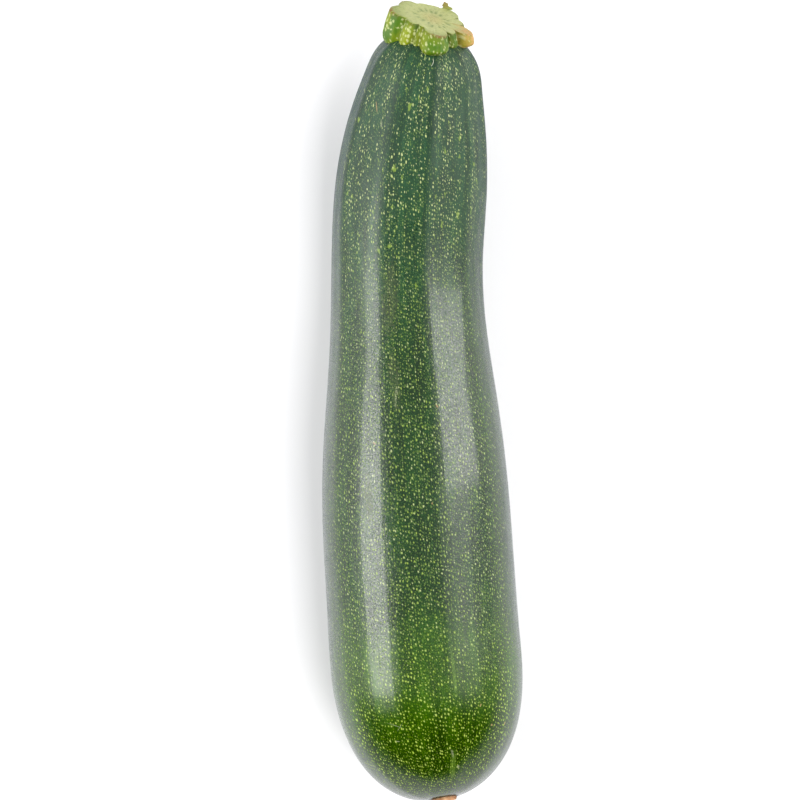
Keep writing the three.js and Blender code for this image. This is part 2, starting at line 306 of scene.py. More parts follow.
# Rings out over the foot, up the wall to the slanting cut and over the dished cut to its
# middle. The ring of bundles on the cut is a sum of bells, one round each dash.
def stemPiece():
    s = stem
    angle = onceRound(s["around"])
    foot = np.linspace(0, 1, s["footRows"])[:, None]
    wall = np.linspace(0, 1, s["wallRows"])[1:, None] ** 1.15
    face = np.linspace(1, 0, s["faceRows"])[1:, None]
    share = np.vstack([np.zeros_like(foot), wall, np.ones_like(face)])
    inward = np.vstack([foot, np.ones_like(wall), face])
    rounding = np.where(inward >= 1, smooth(0.95, 1.0, share), inward ** 12)
    reach = inward * stemReach(angle, share) * (1 - s["edgeRounding"] * rounding)
    rise, right = reach * np.cos(angle), reach * np.sin(angle)
    cut = s["height"] - s["cutFall"] * rise - s["cutFallRight"] * right
    cut = cut - s["cutDish"] * (1 - inward ** 2) * (share >= 1)
    bottom = s["footRise"] * right - s["footDepth"]
    height = bottom + (cut - bottom) * share
    height = np.maximum(height, shoulderDrop(reach) + s["overFruit"])
    height = height - s["edgeDrop"] * smooth(0.96, 1.0, share) * (inward >= 0.98)
    centre, ahead, top, side = frameAt(s["station"])
    rings = (centre + rise[..., None] * top + right[..., None] * side + height[..., None] * ahead)
    ones = np.ones_like(rise)
    onCut = smooth(0.985, 1.0, share) * ones
    degrees = np.degrees(angle) * ones
    dots = np.random.default_rng(7)
    turn = (np.arange(s["bundles"]) + dots.uniform(-0.3, 0.3, s["bundles"])) / s["bundles"]
    ring = s["bundleRing"] + dots.uniform(-0.05, 0.06, s["bundles"])
    size = s["bundleSize"] * dots.uniform(0.6, 1.3, s["bundles"])
    dotReach = ring * np.sqrt(stemReach(turn * 2 * np.pi, np.array(1.0)) * s["cutReach"])
    along = (reach[..., None] - dotReach) / (size * s["bundleLength"])
    across = (angle[..., None] - turn * 2 * np.pi + np.pi) % (2 * np.pi) - np.pi
    gap = np.hypot(along, across * reach[..., None] / size)
    bundle = np.exp(-gap ** 2).sum(-1) * onCut
    dry = 0
    for heading, halfWidth, begins, full, strength in s["dried"]:
        dry = dry + strength * bell(degrees, heading, halfWidth) * smooth(begins, full, share)
    dry = dry * smooth(0.9, 0.99, inward)
    tan = bell(degrees, 80, 15) * smooth(0.55, 0.85, inward)
    rimLine = smooth(0.84, 0.95, share) * (1 - onCut) * (0.6 + 0.4 * bell(degrees, 150, 60, 4))
    # Painted shade: a mask that darkens the wall in the grooves where the lobes meet, below the cut.
    lobeReach = stemReach(angle, np.array(0.6)) - s["coreRadius"] - s["barrel"]
    paintedGrooveShade = (1 - smooth(0.6, 2.6, lobeReach)) * (1 - onCut) * smooth(0.9, 1.0, inward)
    greener = bell(degrees, 12, 22, 4) + 0.6 * bell(degrees, 300, 12)
    place = np.stack([rise, right, height], -1)
    return closedSurface("courgette_stem", rings, {
        "place": place, "onCut": onCut, "bundle": bundle, "dry": dry, "tan": tan, "greener": greener,
        "rimLine": rimLine, "paintedGrooveShade": paintedGrooveShade * ones, "fromAxis": reach / 9})


small = {
    "hairFrom": (8, 87.6, 0.1), "hairTo": (5, 85.9, 0.5), "hairRadius": 0.05,
    "flakeHeading": 160, "flakeLength": 2.0, "flakeWidth": 1.5, "flakeThickness": 0.14,
    "flakeInset": 0.3, "flakeSunk": 0.35, "flakeFalls": 0.3, "flakeSways": 0.8,
    "rows": 24, "around": 16,
}


# A tapering tube: rings of an ellipse round each point of a path, closed to a point at its ends.
def taperedPiece(name, path, across, wide, thick):
    turn = onceRound(small["around"])[..., None]
    ahead = unit(np.gradient(path, axis=0))
    side = unit(across - ahead * (ahead @ across)[:, None])
    up = np.cross(ahead, side)
    rings = (path[:, None] + wide[:, None, None] * np.cos(turn) * side[:, None]
             + thick[:, None, None] * np.sin(turn) * up[:, None])
    share = np.linspace(0, 1, len(path))[:, None] * np.ones_like(turn[..., 0])
    return closedSurface(name, rings, {"share": share})


# A short white hair that stands out from under the stem.
def hairPiece():
    t = np.linspace(0, 1, small["rows"])
    start, end = np.array(small["hairFrom"]), np.array(small["hairTo"])
    degrees, station, lift = (start + (end - start) * t[:, None]).T
    path = aboveSkin(degrees + 2.0 * np.sin(2.6 * t), station, lift)
    radius = small["hairRadius"] * np.sin(np.pi * (0.03 + 0.97 * t)) ** 0.4
    radius[0] = radius[-1] = 0
    return taperedPiece("courgette_hair", path, np.array([1.0, 0.0, 0.0]), radius, radius)


# A torn flake of the rind that stands up at the edge of the cut: a leaning path, wide at its
# root and ragged towards its tip.
def flakePiece():
    s = stem
    k = small
    heading = np.radians(k["flakeHeading"])
    reach = stemReach(heading, np.array(1.0)) - k["flakeInset"]
    rise, right = reach * np.cos(heading), reach * np.sin(heading)
    height = s["height"] - s["cutFall"] * rise - s["cutFallRight"] * right
    centre, ahead, top, side = frameAt(s["station"])
    t = np.linspace(0, 1, k["rows"])[:, None]
    path = (centre + (rise - k["flakeFalls"] * t) * top
            + (right - k["flakeSways"] * t ** 1.5) * side
            + (height - k["flakeSunk"] + k["flakeLength"] * t) * ahead)
    t = t[:, 0]
    width = k["flakeWidth"] * np.clip(1 - t, 0, 1) ** 0.8 * (1 + 0.25 * np.sin(11 * t))
    thick = k["flakeThickness"] * np.ones_like(t)
    width[0] = thick[0] = width[-1] = thick[-1] = 0
    return taperedPiece("courgette_flake", path, side, width, thick)


scar = {"radius": 3.3, "thickness": 1.3, "dish": -0.35, "wobble": 0.12, "crust": 0.05,
        "gap": 0.3, "around": 96, "rows": 26}


# A thin disc round the spine that bulges a little, with an uneven rim and a crust of crossing
# waves.
def scarPiece():
    c = scar
    inner = domeStation(fruit["recessRadius"]) + fruit["recessDepth"] - c["gap"]
    outer = inner - c["thickness"]
    angle = onceRound(c["around"])
    t = np.linspace(0, 1, c["rows"])
    frontRadii = t * 0.96
    frontStations = outer + c["dish"] * (1 - t ** 2)
    radii = np.concatenate([frontRadii, [0.99, 1, 1, 0.94, 0.5, 0]]) * c["radius"]
    stations = np.concatenate([frontStations, [outer + 0.08, outer + 0.25, inner - 0.3, inner,
                                               inner, inner]])
    wave = 1 + np.sin(3 * angle) + 0.6 * np.sin(7 * angle + 1)
    reach = radii[:, None] * (1 - c["wobble"] / c["radius"] * wave)
    crust = c["crust"] * (np.sin(9 * angle + 4 * reach) + np.cos(5 * angle - 6 * reach))
    crust = crust * (np.arange(len(radii)) < c["rows"])[:, None] * smooth(0, 1, reach)
    rings, ahead = roundSpine(stations, reach, angle)
    rings = rings + crust[..., None] * ahead
    place = np.stack(np.broadcast_arrays(reach * np.cos(angle), reach * np.sin(angle),
                                         stations[:, None]), -1)
    return closedSurface("courgette_scar", rings, {"place": place, "rim": reach / c["radius"]})


# Screen colours 0 to 255 as the linear values that the shader takes.
def tint(red, green, blue):
    c = np.array([red, green, blue]) / 255
    return (*np.where(c <= 0.04045, c / 12.92, ((c + 0.055) / 1.055) ** 2.4).tolist(), 1.0)


def addNode(tree, kind, inputs=(), **settings):
    node = tree.nodes.new(kind)
    for key, value in settings.items():
        setattr(node, key, value)
    for key, value in dict(inputs).items():
        if isinstance(value, bpy.types.NodeSocket):
            tree.links.new(value, node.inputs[key])
        else:
            node.inputs[key].default_value = value
    return node


def attribute(tree, name, output="Fac"):
    return addNode(tree, "ShaderNodeAttribute", attribute_name=name).outputs[output]


def calculate(tree, operation, *values, clamp=False):
    node = addNode(tree, "ShaderNodeMath", operation=operation, use_clamp=clamp)
    for i, value in enumerate(values):
        if isinstance(value, bpy.types.NodeSocket):
            tree.links.new(value, node.inputs[i])
        else:
            node.inputs[i].default_value = value
    return node.outputs[0]


def times(tree, *values, clamp=False):
    return calculate(tree, "MULTIPLY", *values, clamp=clamp)


def blend(tree, factor, first, second, mode="MIX"):
    node = addNode(tree, "ShaderNodeMix", data_type="RGBA", blend_type=mode)
    for key, value in ((0, factor), (6, first), (7, second)):
        if isinstance(value, bpy.types.NodeSocket):
            tree.links.new(value, node.inputs[key])
        else:
            node.inputs[key].default_value = value
    return node.outputs[2]


def ramp(tree, value, low, high, toLow=0.0, toHigh=1.0):
    return addNode(tree, "ShaderNodeMapRange", {"Value": value, "From Min": low, "From Max": high,
                                                "To Min": toLow, "To Max": toHigh},
                   interpolation_type="SMOOTHSTEP").outputs[0]


def noise(tree, vector, scale, detail=3.0, roughness=0.5):
    return addNode(tree, "ShaderNodeTexNoise", {"Vector": vector, "Scale": scale, "Detail": detail,
                                                "Roughness": roughness}).outputs["Fac"]


def stretched(tree, vector, scale, shift=(0, 0, 0)):
    return addNode(tree, "ShaderNodeMapping", {"Vector": vector, "Scale": scale,
                                               "Location": shift}).outputs[0]


def newGroup(name, inputs, outputs):
    tree = bpy.data.node_groups.new(name, "ShaderNodeTree")
    for key, kind, value in inputs:
        socket = tree.interface.new_socket(key, in_out="INPUT", socket_type=kind)
        if value is not None:
            socket.default_value = value
    for key, kind in outputs:
        tree.interface.new_socket(key, in_out="OUTPUT", socket_type=kind)
    return tree, addNode(tree, "NodeGroupInput"), addNode(tree, "NodeGroupOutput")


# Raise the surface by a height, through a bump node. The distance is in metres.
def bumped(tree, shader, height, strength, distance):
    bump = addNode(tree, "ShaderNodeBump", {"Strength": strength, "Distance": distance,
                                            "Height": height})
    tree.links.new(bump.outputs[0], shader.inputs["Normal"])


# The skin laid flat: distance round the pattern's cylinder, and its length. It is cut open at
# the underside.
def makeUnrolled():
    tree, given, result = newGroup(
        "unrolledSkin", [("Place", "NodeSocketVector", None), ("Radius", "NodeSocketFloat", 20.0)],
        [("Flat", "NodeSocketVector")])
    parts = addNode(tree, "ShaderNodeSeparateXYZ", {0: given.outputs["Place"]})
    turn = calculate(tree, "ARCTAN2", parts.outputs[1], parts.outputs[0])
    flat = addNode(tree, "ShaderNodeCombineXYZ", {
        "X": times(tree, turn, given.outputs["Radius"]), "Y": parts.outputs[2],
        "Z": 0.0})
    tree.links.new(flat.outputs[0], result.inputs["Flat"])
    return tree


# How the cells of the flecks lie: the slope of their rows, and as shares of a cell how far the
# rows drift, how fast they do and how finely the flecks are ragged.
fleckRows = {"lean": 0.24, "drift": 1.1, "driftScale": 0.25, "raggedScale": 2.3}


# Flecks: one in each cell of the flat skin whose first random number is under Amount; its
# second one sets the fleck's radius, as a share of the cell. The rows of cells lean and drift,
# so that only their columns line up.
def makeFlecks():
    k = fleckRows
    number = "NodeSocketFloat"
    tree, given, result = newGroup(
        "skinFlecks",
        [("Flat", "NodeSocketVector", None), ("Cell", number, 1.5), ("Stretch", number, 1.6),
         ("Amount", number, 0.5), ("Smallest", number, 0.1), ("Largest", number, 0.3),
         ("Softness", number, 0.06), ("Ragged", number, 0.2), ("Evenness", number, 0.15)],
        [("Mask", number), ("Tone", number)])
    squash = addNode(tree, "ShaderNodeCombineXYZ", {
        "X": 1.0, "Y": calculate(tree, "DIVIDE", 1.0, given.outputs["Stretch"]), "Z": 0.0})
    place = addNode(tree, "ShaderNodeVectorMath", {0: given.outputs["Flat"], 1: squash.outputs[0]},
                    operation="MULTIPLY").outputs[0]
    scale = calculate(tree, "DIVIDE", 1.0, given.outputs["Cell"])
    wobble = addNode(tree, "ShaderNodeTexNoise", {
        "Vector": place, "Scale": times(tree, scale, k["raggedScale"]), "Detail": 1.0})
    wobble = addNode(tree, "ShaderNodeVectorMath", {0: wobble.outputs["Color"],
                                                    1: (0.5, 0.5, 0.5)}, operation="SUBTRACT")
    reach = times(tree, given.outputs["Cell"], given.outputs["Ragged"])
    wobble = addNode(tree, "ShaderNodeVectorMath", {0: wobble.outputs[0], "Scale": reach},
                     operation="SCALE")
    place = addNode(tree, "ShaderNodeVectorMath", {0: place, 1: wobble.outputs[0]},
                    operation="ADD").outputs[0]
    parts = addNode(tree, "ShaderNodeSeparateXYZ", {0: place})
    drift = addNode(tree, "ShaderNodeTexNoise", {
        "Vector": place, "Scale": times(tree, scale, k["driftScale"]), "Detail": 0.0})
    drift = times(tree, drift.outputs[0], times(tree, given.outputs["Cell"], k["drift"]))
    leaning = calculate(tree, "MULTIPLY_ADD", parts.outputs[0], k["lean"], parts.outputs[1])
    place = addNode(tree, "ShaderNodeCombineXYZ", {
        "X": parts.outputs[0], "Y": calculate(tree, "ADD", leaning, drift), "Z": 0.0}).outputs[0]
    cells = addNode(tree, "ShaderNodeTexVoronoi", {
        "Vector": place, "Scale": scale,
        "Randomness": calculate(tree, "SUBTRACT", 1.0, given.outputs["Evenness"])},
        voronoi_dimensions="2D", feature="F1")
    random = addNode(tree, "ShaderNodeSeparateColor", {0: cells.outputs["Color"]})
    chosen = calculate(tree, "LESS_THAN", random.outputs[0], given.outputs["Amount"])
    size = calculate(tree, "POWER", random.outputs[1], 2.0)
    size = addNode(tree, "ShaderNodeMapRange", {
        "Value": size, "To Min": given.outputs["Smallest"], "To Max": given.outputs["Largest"]})
    soft = given.outputs["Softness"]
    inside = addNode(tree, "ShaderNodeMapRange", {
        "Value": cells.outputs["Distance"],
        "From Min": calculate(tree, "SUBTRACT", size.outputs[0], soft),
        "From Max": calculate(tree, "ADD", size.outputs[0], soft), "To Min": 1.0, "To Max": 0.0})
    mask = times(tree, inside.outputs[0], chosen, clamp=True)
    tree.links.new(mask, result.inputs["Mask"])
    tree.links.new(random.outputs[2], result.inputs["Tone"])
    return tree


# A small mark: 1 in the middle of the unit circle and 0 outside it, with a ragged edge and
# broken up by a fine noise.
def makeMark():
    number = "NodeSocketFloat"
    tree, given, result = newGroup(
        "smallMark", [("Flat", "NodeSocketVector", None), ("Around", "NodeSocketVector", None),
                      ("Ragged", number, 0.5), ("Broken", number, 0.5)], [("Mask", number)])
    far = addNode(tree, "ShaderNodeVectorMath", {0: given.outputs["Around"]}, operation="LENGTH")
    edge = addNode(tree, "ShaderNodeTexNoise", {"Vector": given.outputs["Flat"], "Scale": 1.1,
                                                "Detail": 2.0})
    uneven = times(tree, calculate(tree, "SUBTRACT", edge.outputs[0], 0.5), given.outputs["Ragged"])
    far = calculate(tree, "ADD", far.outputs["Value"], uneven)
    inside = ramp(tree, far, 0.55, 1.0, 1.0, 0.0)
    grain = addNode(tree, "ShaderNodeTexNoise", {"Vector": given.outputs["Flat"], "Scale": 2.6,
                                                 "Detail": 3.0})
    holes = addNode(tree, "ShaderNodeMapRange", {"Value": grain.outputs[0], "From Min": 0.5,
                                                 "From Max": 0.42, "To Min": 0.0, "To Max": 1.0})
    kept = calculate(tree, "SUBTRACT", 1.0,
                     times(tree, holes.outputs[0], given.outputs["Broken"]))
    tree.links.new(times(tree, inside, kept, clamp=True), result.inputs["Mask"])
    return tree


unrolledGroup, fleckGroup, markGroup = makeUnrolled(), makeFlecks(), makeMark()


def unrolled(tree, place, radius):
    return addNode(tree, "ShaderNodeGroup", {"Place": place, "Radius": radius},
                   node_tree=unrolledGroup).outputs["Flat"]


def flecks(tree, flat, shift=(0, 0, 0), **inputs):
    moved = stretched(tree, flat, (1, 1, 1), shift)
    return addNode(tree, "ShaderNodeGroup", {"Flat": moved, **inputs}, node_tree=fleckGroup).outputs


# A mark at degrees from the top and a station, leaning by some degrees, of a half length and
# a half width in millimetres.
def markOn(tree, flat, degrees, station, lean, halfLength, halfWidth, ragged, broken):
    around, along = onPattern(degrees, station)
    narrowing = radiusAt(station) / fruit["patternRadius"]
    mapped = addNode(tree, "ShaderNodeMapping", {
        "Vector": flat, "Location": (float(around), float(along), 0),
        "Rotation": (0, 0, np.radians(lean)),
        "Scale": (float(halfWidth / narrowing), halfLength, 1)}, vector_type="TEXTURE")
    return addNode(tree, "ShaderNodeGroup", {"Flat": flat, "Around": mapped.outputs[0],
                                             "Ragged": ragged, "Broken": broken},
                   node_tree=markGroup).outputs["Mask"]


def newMaterial(name, **sockets):
    material = bpy.data.materials.new(name)
    material.use_nodes = True
    tree = material.node_tree
    shader = tree.nodes["Principled BSDF"]
    for key, value in sockets.items():
        shader.inputs[key.replace("_", " ")].default_value = value
    return material, tree, shader


skin = {
    "neckGreen": (24, 56, 32), "middleGreen": (17, 45, 12), "blossomGreen": (31, 58, 0),
    "stripeGreen": (12, 42, 20), "fleck": (134, 154, 62), "paleFleck": (164, 174, 118),
    "fineFleck": (104, 130, 58), "neckFleck": (186, 194, 134), "warmFleck": (156, 180, 66),
    # On the next line the last colour, a dark bluish one, is painted rim shade and painted
    # reflection for where the skin is seen at a slant.
    "warmFineFleck": (88, 120, 10), "blotch": (116, 140, 50), "waxBloomAndRimShade": (22, 42, 60),
    "scuff": (164, 168, 132), "tan": (168, 136, 92), "brown": (70, 74, 44), "streak": (96, 126, 40),
    "roughness": 0.2, "coat": 0.34, "coatRoughness": 0.11, "bump": 0.6, "paintedRimShade": 0.65,
    "refraction": 1.41,
    "fineStrength": 0.5, "blotchStrength": 0.75, "dotStrength": 0.9, "stripeStrength": 0.6,
    # so that no two patterns begin alike
    "lineShift": (9, 4, 0), "dotShift": (31, 7, 0), "blotchShift": (5, 43, 0),
}

# Marks on the skin: finish, then degrees from the top, station, lean, half length, half width,
# raggedness, how broken up it is and how strong.
marks = [
    ("tan", -41, 73.6, 32, 1.9, 0.16, 0.3, 0.3, 0.7),
    ("scuff", -31, 69.8, 18, 1.4, 0.35, 1.2, 0.9, 0.55),
    ("tan", -67, 54, 0, 0.3, 0.25, 0.3, 0.0, 0.6),
    ("scuff", 5.6, 58.3, 0, 0.3, 0.25, 0.5, 0.0, 0.6),
    ("brown", -13, 24, -3, 12, 2.4, 1.8, 1.0, 0.4),
    ("brown", -11, 3, 2, 9, 1.6, 1.8, 1.0, 0.35),
    ("scuff", -10, -1, -6, 3.6, 0.35, 1.4, 1.0, 0.35),
    ("tan", 16.4, -4, 30, 0.55, 0.3, 0.5, 0.2, 0.6),
    ("tan", -25, -12, 50, 0.6, 0.2, 0.4, 0.0, 0.6),
    ("brown", -30, -24, 0, 6.5, 1.6, 1.2, 1.0, 0.5),
    ("tan", 9.7, -26.2, 0, 0.3, 0.25, 0.4, 0.0, 0.5),
    ("brown", -61, -22, 90, 2.6, 0.09, 0.2, 0.2, 0.6),
    ("tan", 81, -31, 0, 1.4, 0.3, 0.6, 0.3, 0.6),
    ("scuff", -24, -80, 62, 2.6, 0.13, 0.5, 0.5, 0.4),
    ("scuff", -21, -80.6, -40, 1.6, 0.1, 0.5, 0.5, 0.35),
    ("scuff", -25.5, -84.2, 75, 0.8, 0.15, 0.5, 0.3, 0.5),
    ("tan", 33, -77.2, -20, 0.55, 0.22, 0.5, 0.0, 0.7),
    ("tan", 43.6, -83, 10, 0.35, 0.3, 0.5, 0.0, 0.65),
    ("tan", 57, -83, -15, 0.6, 0.3, 0.5, 0.0, 0.6),
    ("scuff", 13, -89.6, 8, 1.5, 0.4, 1.2, 0.8, 0.4),
    ("scuff", 19, -93, 20, 0.8, 0.35, 0.8, 0.5, 0.45),
    ("brown", 28.6, -95.8, 0, 0.4, 0.35, 0.4, 0.0, 0.7),
    ("streak", 16, -68, 1, 8, 0.55, 1.0, 0.7, 0.4),
    ("streak", 14, -93, 0, 6, 0.9, 1.0, 0.6, 0.5),
]


# The green under the flecks: darker on the crests near the stem, warmer at the blossom end, and
# clouded by three noises; lighter just before the blossom end and darker round its tip, partly
# the skin's own colour and partly painted light and shade. The share runs from 0 at the stem to 1
# at the blossom end.
def skinGround(tree, share, bare, blossom, mottle, streaks, grain):
    k = skin
    colour = blend(tree, ramp(tree, share, 0.1, 0.5), tint(*k["neckGreen"]),
                   tint(*k["middleGreen"]))
    colour = blend(tree, blossom, colour, tint(*k["blossomGreen"]))
    colour = blend(tree, times(tree, bare, k["stripeStrength"]), colour, tint(*k["stripeGreen"]))
    shade = ramp(tree, mottle, 0.3, 0.75, 0.85, 1.2)
    for other in (ramp(tree, streaks, 0.3, 0.7, 0.82, 1.25), ramp(tree, grain, 0.3, 0.7, 0.7, 1.5),
                  # Painted light and shade, partly the skin's own colour: lighter just before the
                  # blossom end, darker round its tip.
                  ramp(tree, share, 0.72, 0.82, 1.0, 1.25),
                  ramp(tree, share, 0.84, 0.95, 1.0, 0.58)):
        shade = times(tree, shade, other)
    mottleAndPaintedShade = addNode(tree, "ShaderNodeCombineColor", {0: shade, 1: shade, 2: shade}).outputs[0]
    return blend(tree, 1.0, colour, mottleAndPaintedShade, "MULTIPLY")


# Where dots lie: in broad rows and fine lines along the fruit, and not on the bare crests. Near
# the blossom end only the lines count. Gives the broad rows and the share of cells with a dot.
def fleckLines(tree, place, share, speckled):
    rows = ramp(tree, noise(tree, stretched(tree, place, (1, 1, 0.05)), 0.42, 2.0), 0.36, 0.58)
    lines = stretched(tree, place, (1, 1, 0.06), skin["lineShift"])
    lines = ramp(tree, noise(tree, lines, 1.1, 1.0), 0.38, 0.6)
    inRows = times(tree, ramp(tree, rows, 0, 1, 0.35, 1.0), ramp(tree, lines, 0, 1, 0.25, 1.0))
    inRows = addNode(tree, "ShaderNodeMapRange", {
        "Value": ramp(tree, share, 0.5, 0.1), "To Min": ramp(tree, lines, 0, 1, 0.65, 1.0),
        "To Max": inRows}).outputs[0]
    return rows, times(tree, inRows, speckled)


# Fine dots, blotches near the stem and dots over a ground colour. Gives the colour and the
# mask of the dots.
def skinFlecks(tree, colour, flat, place, share, speckled, blossom):
    k = skin
    rows, amount = fleckLines(tree, place, share, speckled)
    fine = flecks(tree, flat, Cell=0.5, Stretch=1.5, Smallest=0.14, Largest=0.4, Softness=0.14,
                  Evenness=0.3, Amount=ramp(tree, share, 0.15, 0.75, 0.5, 0.7))
    largest = calculate(tree, "ADD", ramp(tree, share, 0.08, 0.4, 0.33, 0.235),
                        ramp(tree, share, 0.75, 0.9, 0.0, 0.05))
    dots = flecks(tree, flat, k["dotShift"], Cell=0.69, Stretch=1.65, Smallest=0.08,
                  Largest=largest, Softness=0.09, Ragged=0.3, Evenness=0.32, Amount=amount)
    blotches = flecks(tree, flat, k["blotchShift"], Cell=2.4, Stretch=1.7, Smallest=0.05,
                      Largest=0.2, Softness=0.04, Ragged=0.7, Evenness=0.0,
                      Amount=times(tree, times(tree, rows, speckled),
                                   ramp(tree, share, 0.42, 0.05, 0.0, 0.7)))
    fineTint = blend(tree, blossom, tint(*k["fineFleck"]), tint(*k["warmFineFleck"]))
    dotTint = blend(tree, ramp(tree, dots["Tone"], 0.3, 1.0), tint(*k["fleck"]),
                    tint(*k["paleFleck"]))
    dotTint = blend(tree, ramp(tree, share, 0.35, 0.1, 0.0, 0.7), dotTint, tint(*k["neckFleck"]))
    dotTint = blend(tree, times(tree, blossom, 0.7), dotTint, tint(*k["warmFleck"]))
    for layer, strength, layerTint in ((fine, k["fineStrength"], fineTint),
                                       (blotches, k["blotchStrength"], tint(*k["blotch"])),
                                       (dots, k["dotStrength"], dotTint)):
        colour = blend(tree, times(tree, layer["Mask"], strength), colour, layerTint)
    return colour, dots["Mask"]


# Every mark of the list, laid over a colour. Gives the colour and where any mark is.
def skinMarks(tree, colour, flat):
    worn = 0.0
    for finish, degrees, station, lean, halfLength, halfWidth, ragged, broken, strength in marks:
        mask = markOn(tree, flat, degrees, station, lean, halfLength, halfWidth, ragged, broken)
        colour = blend(tree, times(tree, mask, strength), colour, tint(*skin[finish]))
        worn = calculate(tree, "MAXIMUM", worn, mask)
    return colour, worn


# How rough the wax is: patchy, rougher on dots and marks and near the stem, smoother round the
# blossom end.
def skinGloss(tree, share, waxBloomAndRimShade, dots, grain, worn):
    rough = skin["roughness"]
    gloss = calculate(tree, "ADD", ramp(tree, waxBloomAndRimShade, 0.3, 0.7, rough - 0.04, rough + 0.08),
                      times(tree, dots, 0.1))
    gloss = calculate(tree, "ADD", gloss, ramp(tree, grain, 0.4, 0.7, -0.05, 0.16))
    gloss = calculate(tree, "MULTIPLY_ADD", worn, 0.15, gloss)
    gloss = calculate(tree, "ADD", gloss, ramp(tree, share, 0.44, 0.05, 0.0, 0.26))
    return times(tree, gloss, ramp(tree, share, 0.82, 0.94, 1.0, 0.5))


# How thick the wax is: patchy, and fading out at the stem and round the blossom end.
def skinWax(tree, share, grain):
    coat = skin["coat"]
    waxed = ramp(tree, grain, 0.35, 0.65, coat * 1.5, coat * 0.3)
    waxed = times(tree, waxed, ramp(tree, share, 0.14, 0.46))
    return times(tree, waxed, ramp(tree, share, 0.96, 0.84))


# How high the skin lies: grain, raised dots, streaks and slow waves, flatter round the blossom
# end.
def skinHeight(tree, share, waxBloomAndRimShade, dots, grain, streaks):
    height = calculate(tree, "MULTIPLY_ADD", dots, 0.12, grain)
    height = calculate(tree, "MULTIPLY_ADD", streaks, 0.8, height)
    height = calculate(tree, "MULTIPLY_ADD", waxBloomAndRimShade, 1.2, height)
    return times(tree, height, ramp(tree, share, 0.8, 0.92, 1.0, 0.4))


# Waxy green skin: ground, flecks and marks, and a dark bluish colour painted where it is seen at a
# slant, as painted rim shade and painted reflection.
def skinMaterial():
    k = skin
    material, tree, shader = newMaterial("waxySkin", Coat_Roughness=k["coatRoughness"],
                                         IOR=k["refraction"])
    place = attribute(tree, "place", "Vector")
    share = attribute(tree, "share")
    flat = unrolled(tree, place, float(fruit["patternRadius"]))
    streaks = noise(tree, stretched(tree, place, (1, 1, 0.1)), 0.5, 3.0)
    mottle = noise(tree, stretched(tree, place, (1, 1, 0.6)), 0.16, 3.0)
    waxBloomAndRimShade = noise(tree, stretched(tree, place, (1, 1, 0.5)), 0.3, 4.0, 0.6)
    grain = noise(tree, place, 3.4, 2.0, 0.55)
    blossom = calculate(tree, "ADD", ramp(tree, share, 0.7, 0.86),
                        calculate(tree, "MULTIPLY_ADD", mottle, 0.5, -0.2), clamp=True)
    blossom = times(tree, blossom, ramp(tree, share, 0.58, 0.78))
    bare = times(tree, ramp(tree, attribute(tree, "ridge"), 0.72, 1.0),
                 ramp(tree, share, 0.5, 0.05))
    speckled = calculate(tree, "SUBTRACT", 1.0, bare)
    colour = skinGround(tree, share, bare, blossom, mottle, streaks, grain)
    colour, dots = skinFlecks(tree, colour, flat, place, share, speckled, blossom)
    colour, worn = skinMarks(tree, colour, flat)
    # Painted rim shade and painted reflection: towards the outline, where the skin is seen at a
    # slant, its colour turns dark bluish.
    facing = addNode(tree, "ShaderNodeLayerWeight", {"Blend": 0.5}).outputs["Facing"]
    colour = blend(tree, ramp(tree, facing, 0.42, 1.0, 0.0, k["paintedRimShade"]), colour,
                   tint(*k["waxBloomAndRimShade"]))
    gloss = skinGloss(tree, share, waxBloomAndRimShade, dots, grain, worn)
    for value, socket in ((colour, "Base Color"), (gloss, "Roughness"),
                          (skinWax(tree, share, grain), "Coat Weight")):
        tree.links.new(value, shader.inputs[socket])
    height = skinHeight(tree, share, waxBloomAndRimShade, dots, grain, streaks)
    bumped(tree, shader, height, k["bump"], 0.00015)
    return material


stemLook = {
    "wall": (124, 136, 4), "groove": (66, 102, 6), "green": (62, 100, 6),
    # On the next line the second colour, a dark green, is painted shade for the grooves between the
    # lobes.
    "fleck": (184, 190, 130), "paintedGrooveShade": (52, 70, 4),
    "cut": (166, 170, 108), "cutMiddle": (174, 168, 104), "cutEdge": (124, 138, 64),
    "bundle": (92, 116, 44), "dry": (124, 80, 42), "tan": (184, 140, 80), "rim": (84, 82, 26),
    "roughness": 0.5, "bump": 0.7, "refraction": 1.38, "patternRadius": 9.0,
}
